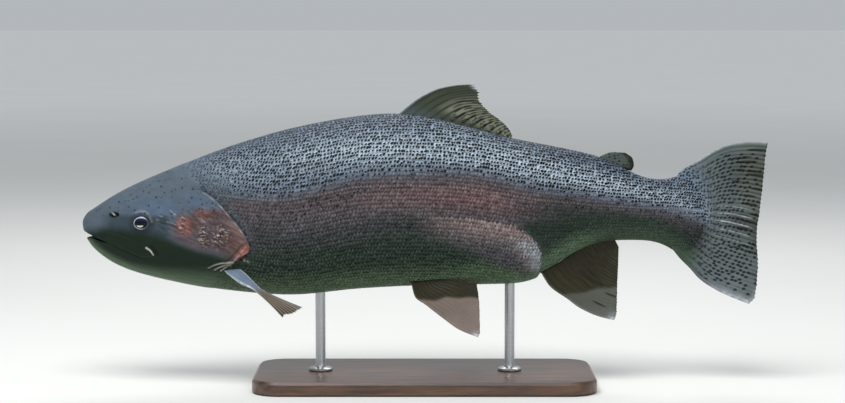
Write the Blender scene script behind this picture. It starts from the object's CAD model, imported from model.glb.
"""The looks of a rainbow trout on its display stand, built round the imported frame.

Everything is worked out in millimetres and turned into metres when a mesh is made. A point on the
fish is (behind, above, out): behind the snout tip, above the snout's level, and out from the middle
plane. The fish's left side is -Y. `turn` goes round the body: 0 on the right side, a quarter turn on
the back, minus a quarter turn on the belly.
"""
import functools
import math

import bpy
import numpy as np
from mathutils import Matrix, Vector


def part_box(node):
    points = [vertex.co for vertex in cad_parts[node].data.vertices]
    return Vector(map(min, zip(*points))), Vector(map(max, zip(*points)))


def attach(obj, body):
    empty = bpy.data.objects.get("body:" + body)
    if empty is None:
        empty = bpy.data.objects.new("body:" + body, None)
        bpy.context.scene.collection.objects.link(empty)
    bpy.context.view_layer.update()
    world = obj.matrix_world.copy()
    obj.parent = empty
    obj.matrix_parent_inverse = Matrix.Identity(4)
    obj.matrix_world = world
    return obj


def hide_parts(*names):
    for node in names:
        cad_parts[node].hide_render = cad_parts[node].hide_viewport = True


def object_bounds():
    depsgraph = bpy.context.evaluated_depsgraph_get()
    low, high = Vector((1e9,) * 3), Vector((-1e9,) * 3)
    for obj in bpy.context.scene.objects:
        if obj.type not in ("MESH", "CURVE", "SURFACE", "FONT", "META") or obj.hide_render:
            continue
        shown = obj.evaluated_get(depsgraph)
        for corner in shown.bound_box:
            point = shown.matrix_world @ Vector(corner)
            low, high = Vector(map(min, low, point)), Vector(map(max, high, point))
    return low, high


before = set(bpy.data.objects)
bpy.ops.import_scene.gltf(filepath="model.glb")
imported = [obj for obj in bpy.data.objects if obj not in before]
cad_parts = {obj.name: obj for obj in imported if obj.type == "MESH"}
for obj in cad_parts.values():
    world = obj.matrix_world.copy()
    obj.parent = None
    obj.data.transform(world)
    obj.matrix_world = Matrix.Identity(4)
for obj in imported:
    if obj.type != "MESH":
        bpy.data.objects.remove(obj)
cad_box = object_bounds()

MM = 0.001
TOTAL_LENGTH = (cad_box[1][0] - cad_box[0][0]) / MM
EYE_PLACE = (62.6, 2.4)           # (behind, above)
SNOUT_LEVEL = sum(corner[2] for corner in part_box("eye_left")) / 2 / MM - EYE_PLACE[1]
SIDES = {"left": -1, "right": 1}
random = np.random.default_rng(7)


# ---- small maths ----

def smoothstep(low, high, value):
    t = np.clip((value - low) / (high - low), 0, 1)
    return t * t * (3 - 2 * t)


def bell(centre, spread, value):
    return np.exp(-((value - centre) / spread) ** 2)


def strongest(*shares):
    """The greatest of several shares at each place."""
    return functools.reduce(np.maximum, shares)


def four_shares(*shares):
    """Up to four shares side by side, for one layer of marks. Those left out are 0."""
    return np.stack(np.broadcast_arrays(*shares, *[0.0] * (4 - len(shares))), axis=-1)


def ellipse_distance(centre, spread, behind, above):
    """0 at a centre in the side view, and 1 as far along and up from it as `spread` says."""
    return np.hypot((behind - centre[0]) / spread[0], (above - centre[1]) / spread[1])


def soft_spot(centre, spread, behind, above):
    """1 at a centre in the side view, falling to 0 round it."""
    return bell(0, 1, ellipse_distance(centre, spread, behind, above))


def unit(vectors):
    return vectors / np.maximum(np.linalg.norm(vectors, axis=-1, keepdims=True), 1e-9)


def hermite(knots):
    """A curve through (x, y) knots that bends towards each knot without overshoot."""
    xs, ys = np.array(knots, float).T
    slopes = np.diff(ys) / np.diff(xs)
    before, after = slopes[:-1], slopes[1:]
    agree = before * after > 0
    inner = np.where(agree, 2 * before * after / np.where(agree, before + after, 1), 0)
    tangents = np.concatenate([slopes[:1], inner, slopes[-1:]])

    def curve(x):
        x = np.clip(x, xs[0], xs[-1])
        i = np.clip(np.searchsorted(xs, x, side="right") - 1, 0, len(xs) - 2)
        span = xs[i + 1] - xs[i]
        t = (x - xs[i]) / span
        rise = ys[i + 1] - ys[i]
        bend = (tangents[i] * (1 - t) - tangents[i + 1] * t) * span
        return ys[i] + rise * t + t * (1 - t) * (bend - rise * (1 - 2 * t))

    return curve


def smooth_line(*knots):
    """A line along the body: its corners are softened over a stretch that shrinks to the snout."""
    curve = hermite(knots)

    def line(behind):
        reach = np.minimum(12, 0.3 * behind)
        return sum(curve(behind + step * reach) for step in (-1, -0.5, 0, 0.5, 1)) / 5

    return line


def smooth_path(points, closed=False):
    """A smooth path through points, as a function of the share of its length."""
    points = np.array(points, float)
    if closed:
        points = np.vstack([points[-3:-1], points, points[1:3]])
    chords = np.concatenate([[0], np.cumsum(np.linalg.norm(np.diff(points, axis=0), axis=1))])
    curves = [hermite(list(zip(chords, column))) for column in points.T]
    first, last = (chords[2], chords[-3]) if closed else (0, chords[-1])
    dense = np.linspace(first, last, 400)
    placed = np.stack([curve(dense) for curve in curves], axis=1)
    lengths = np.concatenate([[0], np.cumsum(np.linalg.norm(np.diff(placed, axis=0), axis=1))])

    def path(share):
        at = np.interp(np.asarray(share) * lengths[-1], lengths, dense)
        return np.stack([curve(at) for curve in curves], axis=-1)

    return path


def distance_to(polyline, behind, above):
    """Distance from points to a line of straight pieces, in the side view."""
    best = np.full(np.shape(behind), np.inf)
    for (ax, az), (bx, bz) in zip(polyline[:-1], polyline[1:]):
        dx, dz = bx - ax, bz - az
        t = np.clip(((behind - ax) * dx + (above - az) * dz) / (dx * dx + dz * dz), 0, 1)
        best = np.minimum(best, np.hypot(behind - ax - t * dx, above - az - t * dz))
    return best


def signed_distance(outline, behind, above):
    """Distance to a closed outline in the side view, negative inside it."""
    inside = np.zeros(np.shape(behind), bool)
    for (ax, az), (bx, bz) in zip(outline[:-1], outline[1:]):
        if az == bz:
            continue
        crosses = (az > above) != (bz > above)
        inside ^= crosses & (behind < (bx - ax) * (above - az) / (bz - az) + ax)
    distance = distance_to(outline, behind, above)
    return np.where(inside, -distance, distance)


# ---- the body's shape, with the same lines as the solids ----

back_line = smooth_line(
    (0, 8.5), (8, 13), (38, 32), (98, 58.5), (158, 81), (218, 97.5), (278, 108), (308, 110.5),
    (438, 84), (520, 66.5), (554, 49.5), (572, 44.2), (588, 45), (602, 50.5), (618, 56), (640, 60))
belly_line = smooth_line(
    (0, -8), (11, -25), (38, -44), (78, -56), (138, -67), (208, -72.5), (278, -66), (338, -63),
    (438, -61), (456, -55.5), (524, -19), (545, -17.5), (572, -18.5), (588, -25), (600, -34),
    (618, -44), (640, -52))
half_width = smooth_line(
    (0, 8.5), (8, 12.5), (38, 21.5), (68, 28), (138, 40.5), (208, 47), (278, 49), (338, 47.5),
    (398, 42.5), (438, 36.5), (498, 22), (558, 13), (588, 9.5), (606, 6.4), (626, 3.2), (640, 1.6))
widest_level = smooth_line(
    (0, -2), (38, -6), (88, -9), (138, -6), (218, 8), (298, 16), (438, 17), (518, 18), (568, 13.5),
    (602, 9), (640, 3))
back_fullness = smooth_line((0, 2), (30, 2.3), (80, 2.35), (160, 2.05), (640, 2))
belly_fullness = smooth_line((0, 2), (60, 1.85), (140, 1.95), (240, 2.25), (430, 2.3), (500, 2), (640, 2))
lateral_line = smooth_line(
    (118, 34), (178, 27), (198, 26), (238, 32), (278, 40), (318, 41), (358, 40), (398, 36),
    (438, 28.5), (478, 23), (518, 19), (558, 16.5), (598, 14.5), (640, 10))

NOSE_ROUNDING = 8
SHOULDER = [
    (92, 140), (102, 62), (120, 37.5), (136, 28), (155, 9), (163, 0), (168, -10), (170.5, -20),
    (171, -25.5), (164, -30), (153, -35), (140, -46), (127, -62), (120, -140)]
TAIL_ROOT = [
    (-90, 588), (-38, 597), (-24, 612), (-7, 622), (8, 625), (22, 622), (38, 612), (52, 597), (90, 588)]
HEAD_INSET = 0.25                 # the skin lies this far inside the solids on the bare head
COAT_DEPTH = 0.75                 # and this far where scales cover it
TAPER = (-12, 8)                  # past the tail root, over which the flesh thins into the fin


def behind_tail_root(behind, above):
    levels, places = np.array(TAIL_ROOT, float).T
    return behind - np.interp(above, levels, places)


def behind_shoulder(behind, above):
    """How far a point lies behind the edge of the head: negative on the head."""
    outline = [(-60, 140), *SHOULDER, (-60, -140), (-60, 140)]
    return signed_distance(outline, behind, above)


def body_section(behind, turn, grow=0.0):
    """(behind, above, out) on the plain body, `grow` outside the solids' surface."""
    on_back = np.sin(turn) > 0
    swell = np.minimum(behind / NOSE_ROUNDING, 1)
    swell = np.sqrt(swell * (2 - swell))
    level = widest_level(behind)
    reach = np.where(on_back, back_line(behind) - level, level - belly_line(behind))
    power = 2 / np.where(on_back, back_fullness(behind), belly_fullness(behind))
    out = (half_width(behind) * swell + grow) * np.sign(np.cos(turn)) * np.abs(np.cos(turn)) ** power
    above = level * swell + (reach * swell + grow) * np.sign(np.sin(turn)) * np.abs(np.sin(turn)) ** power
    past = np.clip((behind_tail_root(behind, above) - TAPER[0]) / (TAPER[1] - TAPER[0]), 0, 1)
    return np.stack([behind + 0 * turn, above, out * np.sqrt(1 - past ** 2)], axis=-1)


# ---- relief of the skin ----

GILL_COVER = [
    (99, 10), (110, 30), (120, 35.5), (135, 28), (154, 8), (166.5, -9), (171, -22), (164, -28.5),
    (152, -36), (131, -42), (108, -40), (95, -28), (92, -8), (99, 10)]
MEMBRANE_EDGE = [(169, -15.5), (163.5, -18.5), (159.5, -23.5), (156, -27.5), (151, -32.5), (146.5, -36)]
GILL_RAYS = [
    [(154, -35.5), (143, -36.4), (136, -38.2), (129, -41.6)],
    [(153, -37), (146, -38.4), (140, -40.8), (135, -43.8)],
    [(151.5, -38), (146, -41), (141, -44.6)]]
MAXILLA_STREAK = [(67.2, -22.2), (71.0, -24.8), (73.8, -29.4)]
MEMBRANE_GLINTS = [
    [(167, -19.5), (162, -25)], [(168.5, -24.5), (163.5, -28)], [(160.5, -27.5), (155.5, -32.5)],
    [(158, -32), (153, -36)]]
MAXILLA = [
    (14, -6), (33, -8), (52, -14.5), (69, -22), (74, -30), (64, -32), (47, -25), (31, -17),
    (16, -11.5), (14, -6)]
UPPER_LIP = hermite([(1, -6.6), (9, -10), (16, -13.5), (31, -19), (48, -26.5), (64, -33), (80, -36)])
LOWER_LIP = hermite([
    (1, -14.4), (6, -14.2), (11, -13.4), (17, -16), (31, -20.8), (48, -27.8), (64, -34), (80, -36.9)])
GAPE_END = 79
NOTCH_END = 13.5                  # daylight shows through the open mouth as far back as this
EYE_OPENING = (7.75, 6.5)         # half its length and half its height
NOSTRILS = [((32.0, 10.6), 2.1), ((37.6, 10.2), 2.3)]
NOSTRIL_PATCH = ((34.6, 10.3), (5.4, 2.9))    # its middle, and half its length and height
NOSTRIL_FLAP = [(32.4, 11.6), (34.0, 10.9), (35.6, 9.9)]
PREOPERCLE = [(99, 13), (96, 0), (97, -14), (103, -27), (114, -36), (128, -41)]
CHEEK_CREASES = [
    [(83, 3.2), (90, 1.6), (98, -0.8)], [(74, -8), (84, -11), (93, -9)], [(70, -13), (77, -20), (88, -24)]]
JAW_EDGE = [(14, -24), (36, -38), (60, -48), (78, -50)]
VENT_STEP = [
    (424, 4), (433, -1.5), (441, -6.5), (449, -13), (454.5, -20), (458, -29), (458.5, -40), (455, -60)]
AHEAD_OF_VENT = [(0, 60), *VENT_STEP, (0, -160), (0, 60)]
WRINKLE_PATCHES = [               # the middle, how far it spreads, and how many creases it has
    ((125.5, -9), (3, 8), 18), ((143, -9), (5.5, 8), 26), ((104.2, 2), (1.2, 6.5), 10)]
HEAD_PORES = [                    # three rows: ahead of the eye, under it, and along the lower jaw
    *((24 + 7 * i, 3 - 3.2 * i - 0.2 * i * i) for i in range(3)),
    *((50 + 8 * i, -9 - 1.4 * i * (4 - i)) for i in range(5)),
    *((24 + 9 * i, -27 - 5.5 * i + 0.35 * i * i) for i in range(5))]

gill_outline = smooth_path(GILL_COVER, closed=True)(np.linspace(0, 1, 60))
maxilla_outline = smooth_path(MAXILLA, closed=True)(np.linspace(0, 1, 50))


def draw_wrinkles():
    """Short creases in patches on the gill cover: each is a middle, a direction and a half length."""
    draw = np.random.default_rng(11)
    wrinkles = []
    for centre, spread, count in WRINKLE_PATCHES:
        for _ in range(count):
            middle = centre + draw.uniform(-1, 1, 2) * spread
            lean = draw.normal(-0.4, 0.35)
            half = draw.uniform(0.9, 2.3)
            reach = half * np.array([math.cos(lean), math.sin(lean)])
            bend = draw.uniform(0.2, 0.8) * np.array([math.sin(-lean), math.cos(lean)])
            wrinkles.append([tuple(middle - reach), tuple(middle + bend), tuple(middle + reach)])
    return wrinkles


WRINKLES = draw_wrinkles()


def near_path(path, reach, behind, above):
    """Which places lie in the box round a path, made larger by `reach`."""
    low, high = path.min(axis=0) - reach, path.max(axis=0) + reach
    return (behind > low[0]) & (behind < high[0]) & (above > low[1]) & (above < high[1])


def lines(paths, width, behind, above, shift=(0, 0)):
    """1 on any of several short lines, falling to 0 over `width`. Only places near a line are worked out."""
    behind, above = np.broadcast_arrays(behind, above)
    share = np.zeros(behind.shape)
    for path in paths:
        path = np.array(path) + shift
        near = near_path(path, 3 * width, behind, above)
        if near.any():
            fresh = bell(0, width, distance_to(path, behind[near], above[near]))
            share[near] = np.maximum(share[near], fresh)
    return share


def stroke(path, wide, narrow, behind, above, shift=(0, 0)):
    """1 on a line that narrows from one end to the other, falling to 0 beside it."""
    behind, above = np.broadcast_arrays(behind, above)
    share = np.zeros(behind.shape)
    dabs = smooth_path(path)(np.linspace(0, 1, 20)) + shift
    near = near_path(dabs, 3 * wide, behind, above)
    for dab, width in zip(dabs, np.linspace(wide, narrow, len(dabs))):
        away = np.hypot(behind[near] - dab[0], above[near] - dab[1])
        share[near] = np.maximum(share[near], bell(0, width, away))
    return share


def eye_distance(behind, above):
    """0 at the middle of the eye and 1 at the rim of its opening."""
    return ellipse_distance(EYE_PLACE, EYE_OPENING, behind, above)


def rear_edge_share(behind):
    """1 on the rear part of the gill cover's edge, which is free, and 0 towards the front."""
    return smoothstep(112, 130, behind)


def gill_cover_relief(behind, above):
    """The cover stands proud and ends in a free edge, with the soft membrane along its lower corner."""
    edge = signed_distance(gill_outline, behind, above)
    rear = rear_edge_share(behind)
    under = smoothstep(-33, -38, above)
    plate = 1.5 * smoothstep(34, 0, -edge) * rear * (edge < 0) + 0.4 * smoothstep(-2, 24, -edge)
    plate = plate * (1 - 0.75 * under)
    trench = -1.5 * rear * smoothstep(-0.2, 0.5, edge) * smoothstep(7, 0.6, edge) * (1 - 0.8 * under)
    rims = 0.13 * np.cos(2 * math.pi * (edge + 1.2) / 2.6) * smoothstep(9, 6, -edge) * (edge < -0.3)
    rims = rims * rear * smoothstep(14, 4, above) * smoothstep(-24, -16, above)
    membrane = -0.55 * lines([MEMBRANE_EDGE], 0.7, behind, above)
    rays = 0.6 * sum(stroke(ray, 1.1, 0.5, behind, above) for ray in GILL_RAYS)
    ridges, grooves = (lines(WRINKLES, 0.6, behind, above, shift) for shift in ((0, 0), (0.4, -1.2)))
    wrinkles = 0.45 * ridges - 0.4 * grooves
    seam = -0.06 * lines([PREOPERCLE], 1.2, behind, above)
    return plate + trench + rims + membrane + rays + wrinkles + seam


def throat_relief(behind, above):
    """The rays that carry the gill membrane, side by side under the gill cover."""
    edge = signed_distance(gill_outline, behind, above)
    place = smoothstep(3.5, 6, edge) * smoothstep(24, 18, edge) * smoothstep(-36, -44, above)
    place = place * smoothstep(72, 84, behind) * smoothstep(146, 134, behind)
    return 0.1 * place * np.cos(edge * 2 * math.pi / 4.3)


def face_relief(behind, above):
    """The upper jaw's plate, the lips, the eye's rim and brow, creases, nostrils and pores."""
    maxilla = signed_distance(maxilla_outline, behind, above)
    plate = 0.6 * smoothstep(0.4, -1.6, maxilla)
    crease = -0.35 * bell(0.9, 0.8, maxilla) * smoothstep(24, 40, behind)
    lips = 0.45 * bell(1.2, 1.4, above - UPPER_LIP(behind)) + 0.4 * bell(-1.4, 1.7, above - LOWER_LIP(behind))
    lips = lips * smoothstep(GAPE_END, 60, behind) * (0.4 + 0.6 * smoothstep(40, 18, behind))
    eye = eye_distance(behind, above)
    rim = 0.4 * bell(1.1, 0.12, eye) - 0.25 * bell(1.4, 0.2, eye)
    brow = 0.6 * bell(1.55, 0.3, eye) * smoothstep(0, 9, above - EYE_PLACE[1])
    creases = -0.28 * lines(CHEEK_CREASES, 0.9, behind, above) - 0.3 * lines([JAW_EDGE], 1.4, behind, above)
    nostrils = 0
    for centre, radius in NOSTRILS:
        away = ellipse_distance(centre, (1, 1), behind, above)
        nostrils = nostrils - 2.2 * smoothstep(radius, radius * 0.4, away)
        nostrils = nostrils + 0.35 * bell(radius * 1.3, 0.6, away)
    flap = 1.5 * lines([NOSTRIL_FLAP], 0.6, behind, above)
    pores = -0.25 * sum(soft_spot(pore, (0.55, 0.55), behind, above) for pore in HEAD_PORES)
    return plate + crease + lips + rim + brow + creases + nostrils + flap + pores


def relief(behind, above):
    """How far the skin stands out from the plain body, in millimetres."""
    head = smoothstep(12, 2, behind_shoulder(behind, above))
    height = gill_cover_relief(behind, above) + head * throat_relief(behind, above)
    front = behind < 110
    height = height + np.where(front, face_relief(behind, above), 0)
    ahead = signed_distance(AHEAD_OF_VENT, behind, above)
    low = smoothstep(10, -8, above)
    fade = smoothstep(90, 15, ahead)
    height = height - 3.2 * low * fade * smoothstep(-1.5, 5, ahead) * smoothstep(560, 520, behind)
    return height


def skin_point(behind, turn, lift=0.0):
    """(behind, above, out) on the skin, `lift` above it."""
    step = 0.4
    plain = body_section(behind, turn)
    cover = smoothstep(-2, 6, behind_shoulder(plain[..., 0], plain[..., 1]))
    inset = HEAD_INSET + (COAT_DEPTH - HEAD_INSET) * cover
    along = body_section(behind + step, turn) - body_section(np.maximum(behind - step, 0), turn)
    across = body_section(behind, turn + step / 40) - body_section(behind, turn - step / 40)
    facing = unit(np.cross(along, across))
    off_ridge = smoothstep(0.97, 0.8, facing[..., 1])
    height = relief(plain[..., 0], plain[..., 1]) * off_ridge
    return plain + facing * (height - inset + lift)[..., None]


def open_mouth(points):
    """Draws the skin between the lips in towards the middle, and back from the snout."""
    behind, above, out = np.moveaxis(points, -1, 0)
    below_upper = smoothstep(0, 0.7, UPPER_LIP(behind) - above)
    above_lower = smoothstep(0, 0.7, above - LOWER_LIP(behind))
    between = below_upper * above_lower * smoothstep(GAPE_END, GAPE_END - 8, behind)
    back = between * np.maximum(NOTCH_END - behind, 0) * 1.05
    depth = 0.03 + 0.77 * smoothstep(28, 14, behind)
    return np.stack([behind + back, above, out * (1 - depth * between)], axis=-1)


# ---- markings, the same on skin and scales ----

spots_end = smooth_line((0, 60), (90, 45), (130, 33), (189, 30), (221, 35), (260, 47), (310, 55), (382, 56),
                        (418, 48), (453, 38), (498, 32), (525, 27), (560, 21), (596, 14), (640, -10))
pale_middle = smooth_line((0, 56), (158, 58), (218, 68), (318, 79), (388, 74), (440, 62), (500, 45),
                          (560, 34), (600, 20), (640, 0))
sparse_spots_end = smooth_line((118, 26), (168, -2), (218, 2), (268, 18), (318, 44), (400, 44), (460, 28),
                               (500, 6), (560, -2), (600, -20), (640, -60))
band_middle = smooth_line((118, 10), (218, 22), (318, 30), (378, 30), (438, 22), (498, 14), (560, 8))
band_strength = smooth_line((118, 0.1), (180, 0.2), (258, 0.35), (318, 0.5), (378, 0.85), (418, 0.75),
                            (445, 0.4), (480, 0.15), (600, 0.05))
belly_edge = smooth_line((0, -8), (28, -11), (68, -9), (88, -20), (118, -27), (148, -29), (168, -25),
                         (218, -22), (268, -15), (293, -9), (328, -4), (350, -9), (383, -22), (411, -36),
                         (436, -48), (453, -52), (470, 4), (518, 11), (558, 8), (588, 0), (610, -20),
                         (640, -60))
dusk_top = smooth_line((0, 32), (460, 32), (500, 28), (540, 16), (600, 8), (640, 4))
LIT_ARC = [(325, 4), (365, 5), (399, 1), (428, -5), (446, -19), (454, -33), (455, -44)]
cheek_top = hermite([(76, 4), (90, 9), (98, 11), (112, 13), (118, 17.5), (152, 18), (170, 16)])
cheek_foot = hermite([(76, -3), (96, -13), (116, -21), (136, -25), (150, -30), (176, -37)])
face_shadow = hermite([(0, -7), (14, -5.5), (24, -2.5), (60, -4.5), (76, -7.5), (92, -13), (110, -20),
                       (136, -28), (150, -35), (176, -44)])
ORANGE_PATCHES = [                # the middle, how far it spreads, and its strength
    ((106, 0.5), (6.5, 7.5), 1), ((127, 12), (8, 5), 0.28), ((158, -15), (9, 9), 0.35)]
MEMBRANE_OUTLINE = [
    *MEMBRANE_EDGE, (147.5, -38.5), (154.5, -37), (159.5, -34), (163.5, -31), (170, -27), (173, -22),
    MEMBRANE_EDGE[0]]
MEMBRANE_TIP = [(163, -32.5), (168.5, -34.5)]
PALE_FLECKS = [
    [(67, 12.6), (69, 11.4)], [(70.5, 9.4), (71.6, 7.0)], [(92, 15.6), (94, 13.8)],
    [(95.4, 12.4), (97.6, 11.4)], [(65.5, 14.4), (66.4, 14.0)], [(88.6, 4.6), (97, 1.8)],
    [(120, 8.8), (124, 4.6)], [(122.5, 9), (126.5, 4.4)], [(81, 10.2), (83.4, 9.6)], [(78, 6.4), (80, 6)]]
EYE_HALO = [(57, 12.6), (62, 14.2), (67.5, 12.8), (71.5, 9.0), (73.2, 4.4)]
VENT = [(457.5, -55), (460.5, -57.5)]


def side_marks(behind, above, body):
    """(pale upper side, mauve flank, red band, green belly)"""
    edge = spots_end(behind)
    spread = 17 - 5 * smoothstep(420, 500, behind)
    pale = bell(pale_middle(behind), spread, above) * (0.3 + 0.7 * smoothstep(150, 320, behind))
    under_fin = bell(375, 70, behind) * smoothstep(62, 80, above)
    pale = np.maximum(pale * (1 - 0.3 * smoothstep(560, 590, behind)), 0.75 * under_fin)
    pale = pale * (1 - 0.75 * smoothstep(588, 618, behind) * smoothstep(34, 22, above))
    pale = pale * (1 - 0.14 * bell(350, 70, behind))
    pale = pale * smoothstep(edge - 6, edge + 8, above) * smoothstep(100, 160, behind)
    flank = smoothstep(edge + 8, edge - 10, above)
    band = bell(band_middle(behind), 15, above) * band_strength(behind)
    belly = smoothstep(belly_edge(behind) + 7, belly_edge(behind) - 7, above)
    return pale * body, flank * body, band * body, belly


def low_marks(behind, above, body, belly):
    """(dusky flank, light bottom edge, lit bulge ahead of the vent, its bluish rear rim, belly)"""
    rear_dusk = smoothstep(420, 480, behind) * smoothstep(0, -18, above - dusk_top(behind))
    low_dusk = 0.85 * bell(belly_edge(behind) + 7, 12, above) * smoothstep(400, 330, behind)
    dusk = strongest(rear_dusk, low_dusk, soft_spot((178, -14), (22, 15), behind, above)) * body
    reach = 11 + 17 * smoothstep(45, 150, behind) - 8 * smoothstep(320, 380, behind)
    reach = reach + 14 * bell(405, 48, behind) + 8 * bell(480, 25, behind)
    rim = smoothstep(1, 0, (above - belly_line(behind) - 3) / reach)
    rim = rim * (1 - 0.75 * smoothstep(490, 530, behind))

    ahead = signed_distance(AHEAD_OF_VENT, behind, above)
    from_arc = distance_to(LIT_ARC, behind, above)
    lit = bell(0, 12.5, from_arc) * smoothstep(325, 400, behind) * smoothstep(1.2, -2.5, ahead)
    rear_rim = bell(0, 9.5, from_arc) * smoothstep(2, -2, ahead) * smoothstep(-8, -24, above)
    lit, rear_rim = (share * smoothstep(-53, -40, above) for share in (lit, rear_rim))
    past_vent = smoothstep(0, 4, ahead) * smoothstep(434, 446, behind) * smoothstep(10, -4, above)
    belly = strongest(belly * (1 - 0.9 * lit), past_vent * smoothstep(600, 560, behind))
    return dusk * (1 - 0.9 * lit), rim, lit, rear_rim, belly


def face_marks(behind, above, gill):
    """(mauve cheek, orange patches, orange membrane)"""
    soft = 1.2 + 5 * smoothstep(120, 112, behind)
    cheek = smoothstep(1, -1, (above - cheek_top(behind)) / soft)
    cheek = cheek * smoothstep(cheek_foot(behind) - 6, cheek_foot(behind) + 5, above)
    cheek = cheek * smoothstep(74, 112, behind) * smoothstep(0.5, -1, gill)
    orange = strongest(*(strength * soft_spot(centre, spread, behind, above)
                         for centre, spread, strength in ORANGE_PATCHES))
    membrane = smoothstep(0.6, -1.0, signed_distance(MEMBRANE_OUTLINE, behind, above)) * (behind < 180)
    membrane = membrane * (0.55 + 0.45 * smoothstep(150, 160, behind))
    return cheek, orange * (behind < 178), membrane


def head_marks(behind, above, head, gill):
    """(dark low face, dusky middle of the face, blue upper cheek, light rim of the gill cover)"""
    low = smoothstep(face_shadow(behind) + 6, face_shadow(behind) - 7, above)
    low = low * smoothstep(178, 140, behind)
    middle = smoothstep(13, 7, above) * smoothstep(18, 34, behind) * smoothstep(100, 84, behind)
    blue = strongest(soft_spot((78, 17), (26, 9), behind, above) * (behind < 160),
                     0.6 * soft_spot((118, 26), (18, 8), behind, above))
    gill_rim = bell(-4.5, 3.5, gill) * rear_edge_share(behind) * (gill < 0)
    gill_rim = gill_rim * smoothstep(12, 2, above) * smoothstep(-30, -20, above)
    return low, middle * head, blue * head, gill_rim


def dark_marks(behind, above, gill):
    """The gape, the gill slit, the nostril, the eye's rim, and the grooves beside the raised lines."""
    gape = smoothstep(-0.8, 0.4, UPPER_LIP(behind) - above) * smoothstep(-0.8, 0.4, above - LOWER_LIP(behind))
    gape = gape * smoothstep(GAPE_END + 3, GAPE_END - 4, behind)
    slit = bell(1.2, 1.1, gill) * rear_edge_share(behind) * smoothstep(-38, -31, above) * (behind < 185)
    nostril = smoothstep(1.2, 0.75, ellipse_distance(*NOSTRIL_PATCH, behind, above))
    eye = eye_distance(behind, above)
    return strongest(
        gape * (0.05 + 0.75 * smoothstep(27, 15, behind)),
        0.9 * slit,
        nostril * (1 - stroke(NOSTRIL_FLAP, 1.3, 0.8, behind, above)),
        0.8 * bell(1.12, 0.1, eye),
        0.35 * bell(1.45, 0.3, eye),
        0.85 * stroke(MAXILLA_STREAK, 1.9, 1.9, behind, above, (4.0, 1.2)),
        0.6 * lines(CHEEK_CREASES[:1], 0.7, behind, above),
        0.75 * lines(WRINKLES, 0.7, behind, above, (0.4, -1.3)),
        *(0.8 * stroke(ray, 1.2, 0.8, behind, above, (-0.4, -1.7)) for ray in GILL_RAYS),
        0.45 * lines([MEMBRANE_EDGE], 0.9, behind, above, (-1.2, 0.6)))


def light_marks(behind, above, gill):
    """The two pale marks, the rays, glints and flecks, and the broken light rim of the gill cover."""
    rim = bell(-0.9, 0.45, gill) * smoothstep(118, 132, behind) * smoothstep(-20, -8, above) * (behind < 180)
    return strongest(
        0.8 * stroke(MAXILLA_STREAK, 0.85, 0.5, behind, above),
        0.8 * stroke(NOSTRIL_FLAP, 1.0, 0.6, behind, above),
        *(0.8 * stroke(ray, 1.0, 0.45, behind, above) for ray in GILL_RAYS),
        0.35 * lines(MEMBRANE_GLINTS, 0.8, behind, above),
        0.45 * lines([MEMBRANE_TIP], 1.1, behind, above),
        0.62 * lines(WRINKLES, 0.5, behind, above),
        0.24 * lines(PALE_FLECKS, 0.55, behind, above),
        0.16 * lines([EYE_HALO], 1.3, behind, above),
        0.5 * stroke(VENT, 1.8, 1.3, behind, above),
        rim * (0.24 + 0.22 * np.sin(0.55 * above + 1) * np.sin(0.21 * above)))


def grain_marks(behind, above):
    """(streaked cheek, wrinkled patches, reddish rear of the cover)"""
    foot, top = cheek_foot(behind), cheek_top(behind)
    streaked = smoothstep(64, 86, behind) * smoothstep(173, 164, behind)
    streaked = streaked * smoothstep(foot - 6, foot + 8, above) * smoothstep(top + 7, top - 3, above)
    wrinkled = strongest(*(
        bell(0, 1.25, ellipse_distance(centre, (wide + 1, high), behind, above))
        for centre, (wide, high), _ in WRINKLE_PATCHES))
    return streaked, wrinkled, soft_spot((154, -17), (16, 14), behind, above)


def markings(behind, above):
    """Shares of each kind of marking, as groups of four."""
    past_shoulder = behind_shoulder(behind, above)
    body = smoothstep(-4, 10, past_shoulder)
    head = 1 - body
    nape = smoothstep(48, -4, past_shoulder)
    gill = signed_distance(gill_outline, behind, above)
    pale, flank, band, belly = side_marks(behind, above, body)
    dusk, rim, lit, rear_rim, belly = low_marks(behind, above, body, belly)
    edge, sparse_edge = spots_end(behind), sparse_spots_end(behind)
    spots = strongest(smoothstep(edge - 6, edge + 5, above),
                      0.3 * smoothstep(sparse_edge, sparse_edge + 14, above))
    spots = spots * body * (0.6 + 0.4 * smoothstep(0, 50, past_shoulder))
    top = smoothstep(back_line(behind) - 17, back_line(behind) - 5, above)
    top = top * body * (1 - 0.7 * bell(372, 55, behind))
    dark, silver = dark_marks(behind, above, gill), light_marks(behind, above, gill)
    groups = {
        "marks_side": (pale, flank, band, belly),
        "marks_low": (dusk, rim, lit, rear_rim),
        "marks_face": (*face_marks(behind, above, gill), nape),
        "marks_head": head_marks(behind, above, head, gill),
        "marks_fine": (top, dark, silver, spots),
        "marks_grain": grain_marks(behind, above)}
    return {name: four_shares(*shares) for name, shares in groups.items()}


# ---- meshes ----

def to_world(points):
    behind, above, out = np.moveaxis(points, -1, 0)
    return np.stack([behind - TOTAL_LENGTH / 2, out, SNOUT_LEVEL + above], axis=-1) * MM


def add_object(name, data):
    thing = bpy.data.objects.new(name, data)
    bpy.context.scene.collection.objects.link(thing)
    return thing


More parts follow.
